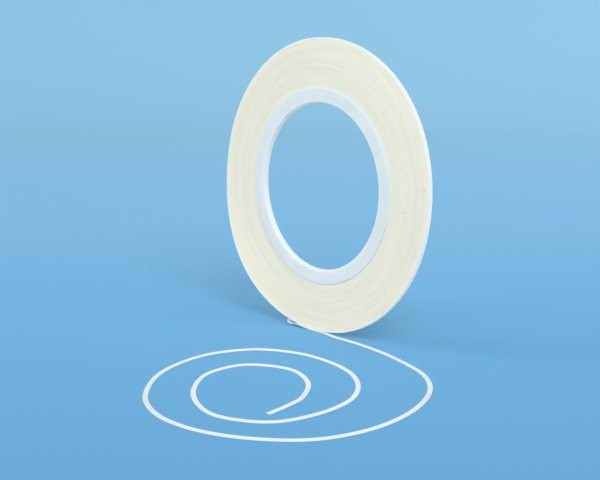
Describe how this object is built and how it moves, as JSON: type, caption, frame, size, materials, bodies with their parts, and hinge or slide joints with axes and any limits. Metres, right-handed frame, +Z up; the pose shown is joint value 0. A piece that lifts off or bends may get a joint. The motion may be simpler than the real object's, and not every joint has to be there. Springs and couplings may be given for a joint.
{
  "type": "masking tape roll",
  "caption": "Roll of narrow flexible masking tape on a plastic core, on edge, with its free end peeled off and laid out in a flat spiral.",
  "frame": {"origin": "on the table top, under the middle of the roll", "axes": "+Z up, +Y along the roll's axis, away from the side on which the free end lies, +X to the right in the roll's plane, the way the free end leaves"},
  "size_m": [0.188, 0.1359, 0.1342],
  "materials": {
    "core_plastic": "satin, slightly translucent",
    "wound_tape": "matt layered edge of the wound tape",
    "tape_film": "satin film"
  },
  "bodies": {
    "free_end": {"tape_tail": "tape_film", "peel_fold": "tape_film"},
    "roll": {"core": "core_plastic", "wound_tape": "wound_tape"}
  },
  "joints": [
    {"name": "unwind", "type": "hinge", "parent": "free_end", "child": "roll", "pos_m": [0, 0, 0.06724], "axis": [0, 1, 0], "continuous": true}
  ]
}
